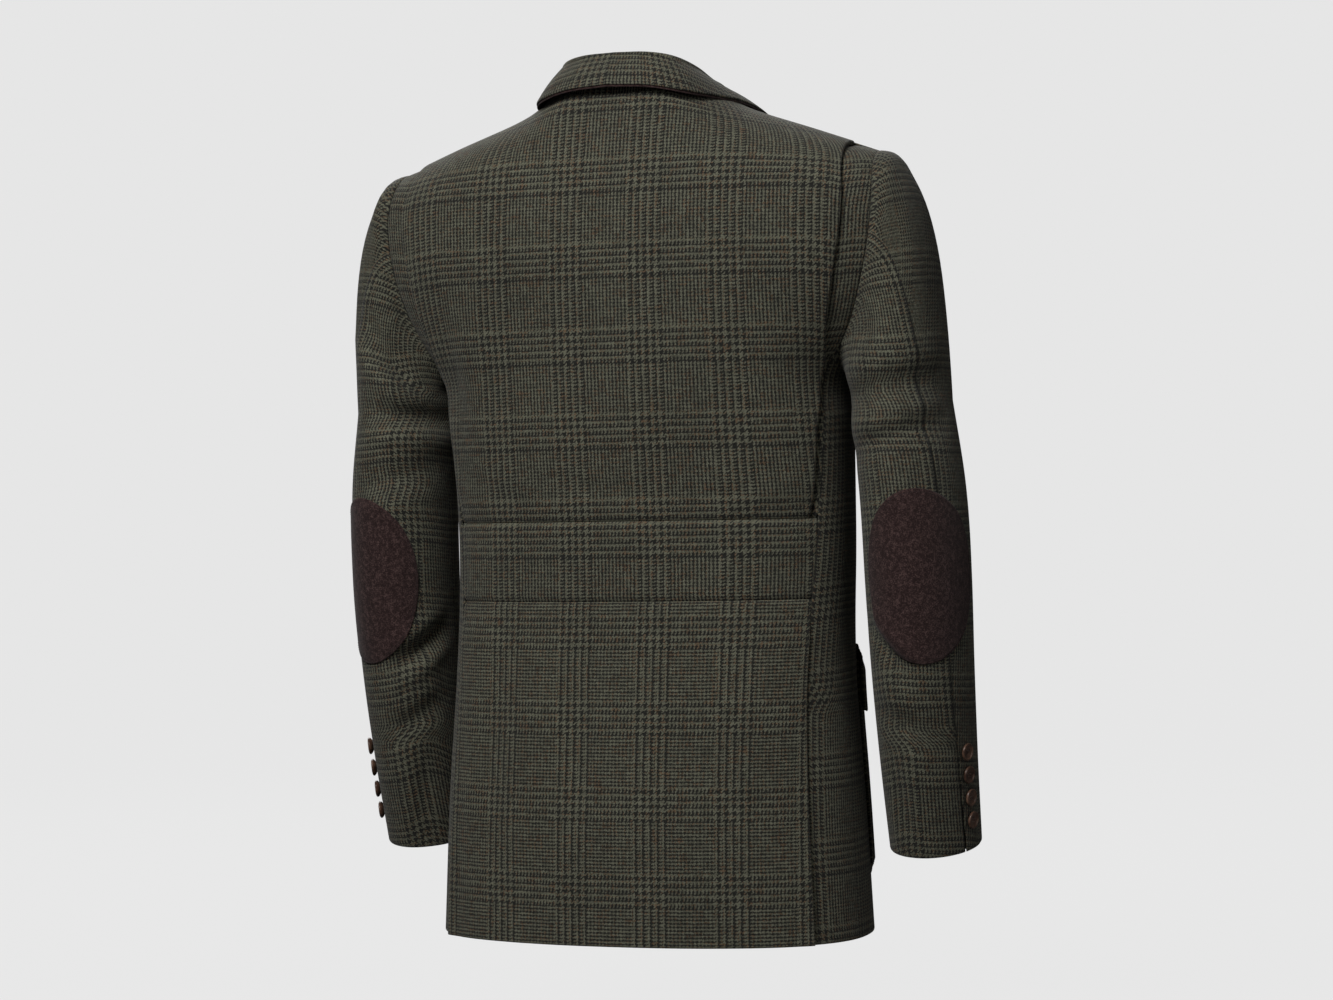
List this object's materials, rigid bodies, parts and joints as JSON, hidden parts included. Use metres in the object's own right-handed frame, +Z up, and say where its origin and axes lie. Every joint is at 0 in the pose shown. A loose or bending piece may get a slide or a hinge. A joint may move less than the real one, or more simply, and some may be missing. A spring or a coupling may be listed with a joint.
{
  "type": "tweed jacket",
  "caption": "Hollow single-breasted tweed jacket with turn-down collar, action-back pleats, inset half-belt, side vents, elbow patches and buttoned cuffs.",
  "frame": {"origin": "middle of the neck opening, level with the points where the shoulder seams meet the collar", "axes": "+Z up, the front faces -Y, the wearer's left is +X"},
  "size_m": [0.5842, 0.2698, 0.7831],
  "materials": {
    "tweed": "dark olive glen check wool",
    "elbow_patch": "flecked dark maroon wool",
    "button": "polished brown horn look"
  },
  "bodies": {
    "root": {"back_upper": "tweed", "back_belt": "tweed", "back_skirt": "tweed", "collar": "tweed", "side_left": "tweed", "front_left": "tweed", "lapel_left": "tweed", "pocket_left": "tweed", "pocket_flap_left": "tweed", "sleeve_top_left": "tweed", "sleeve_under_left": "tweed", "sleeve_top_lower_left": "tweed", "sleeve_under_lower_left": "tweed", "side_right": "tweed", "front_right": "tweed", "lapel_right": "tweed", "pocket_right": "tweed", "pocket_flap_right": "tweed", "sleeve_top_right": "tweed", "sleeve_under_right": "tweed", "sleeve_top_lower_right": "tweed", "sleeve_under_lower_right": "tweed", "elbow_patch_left": "elbow_patch", "elbow_patch_right": "elbow_patch", "cuff_button_left_1": "button", "cuff_button_left_2": "button", "cuff_button_left_3": "button", "cuff_button_left_4": "button", "cuff_button_right_1": "button", "cuff_button_right_2": "button", "cuff_button_right_3": "button", "cuff_button_right_4": "button", "front_button_1": "button", "front_button_2": "button", "front_button_3": "button"}
  },
  "joints": []
}
